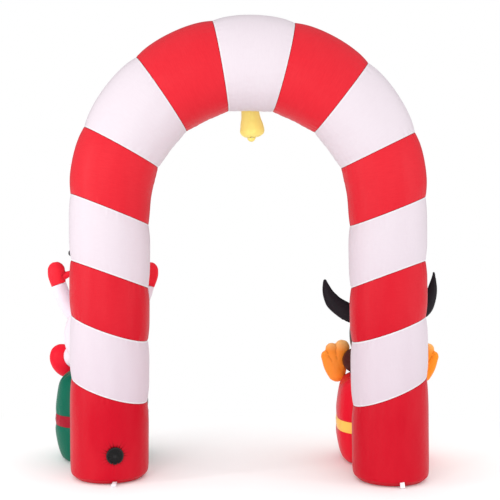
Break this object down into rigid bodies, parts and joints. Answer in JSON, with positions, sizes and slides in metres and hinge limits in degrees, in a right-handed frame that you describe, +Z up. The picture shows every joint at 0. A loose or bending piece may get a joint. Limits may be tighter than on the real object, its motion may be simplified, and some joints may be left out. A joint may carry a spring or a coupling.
{
  "type": "inflatable candy-cane arch with a snowman and a penguin",
  "caption": "Blown-up cloth archway of red and white bands to walk through, with two figures sitting on gift boxes at its legs and a bell at its crown.",
  "frame": {"origin": "bottom centre of the whole object's box, on the ground", "axes": "+X across the walkway to the leg with the penguin, +Y the way the two figures face, +Z up"},
  "size_m": [2.2952, 0.9743, 2.4387],
  "materials": {
    "white_cloth": "thin coated polyester, soft sheen",
    "red_cloth": "thin coated polyester, soft sheen",
    "black_cloth": "thin coated polyester, soft sheen",
    "green_cloth": "thin coated polyester, soft sheen",
    "dark_red_cloth": "thin coated polyester, soft sheen",
    "gold_cloth": "thin coated polyester, soft sheen",
    "orange_cloth": "thin coated polyester, soft sheen",
    "yellow_cloth": "thin coated polyester, soft sheen",
    "webbing": "woven, matte",
    "black_plastic": "moulded, satin"
  },
  "bodies": {
    "root": {"band_01": "red_cloth", "band_02": "white_cloth", "band_03": "red_cloth", "band_04": "white_cloth", "band_05": "red_cloth", "band_06": "white_cloth", "band_07": "red_cloth", "band_08": "white_cloth", "band_09": "red_cloth", "band_10": "white_cloth", "band_11": "red_cloth", "band_12": "white_cloth", "band_13": "red_cloth", "band_14": "white_cloth", "band_15": "red_cloth", "bell": "yellow_cloth", "bell_clapper": "yellow_cloth", "gift_green_lower": "green_cloth", "gift_green_ribbon": "dark_red_cloth", "gift_green_upper": "green_cloth", "gift_red_lower": "red_cloth", "gift_red_ribbon": "gold_cloth", "gift_red_upper": "red_cloth", "intake_collar": "black_plastic", "intake_grille": "black_plastic", "loop_left_foot": "webbing", "loop_left_side": "webbing", "loop_right_foot": "webbing", "penguin_beak": "orange_cloth", "penguin_belly": "white_cloth", "penguin_body": "black_cloth", "penguin_eye_inner": "white_cloth", "penguin_eye_outer": "white_cloth", "penguin_foot_inner": "orange_cloth", "penguin_foot_outer": "orange_cloth", "penguin_head": "black_cloth", "penguin_leg_inner": "black_cloth", "penguin_leg_outer": "black_cloth", "penguin_wing_inner": "black_cloth", "penguin_wing_outer": "black_cloth", "snowman_arm_inner": "white_cloth", "snowman_arm_outer": "white_cloth", "snowman_body": "white_cloth", "snowman_boot_inner": "red_cloth", "snowman_boot_outer": "red_cloth", "snowman_eye_inner": "black_cloth", "snowman_eye_outer": "black_cloth", "snowman_hat_brim": "black_cloth", "snowman_hat_crown": "black_cloth", "snowman_head": "white_cloth", "snowman_leg_inner": "white_cloth", "snowman_leg_outer": "white_cloth", "snowman_mitten_inner": "red_cloth", "snowman_mitten_outer": "red_cloth", "snowman_nose": "orange_cloth"}
  },
  "joints": []
}
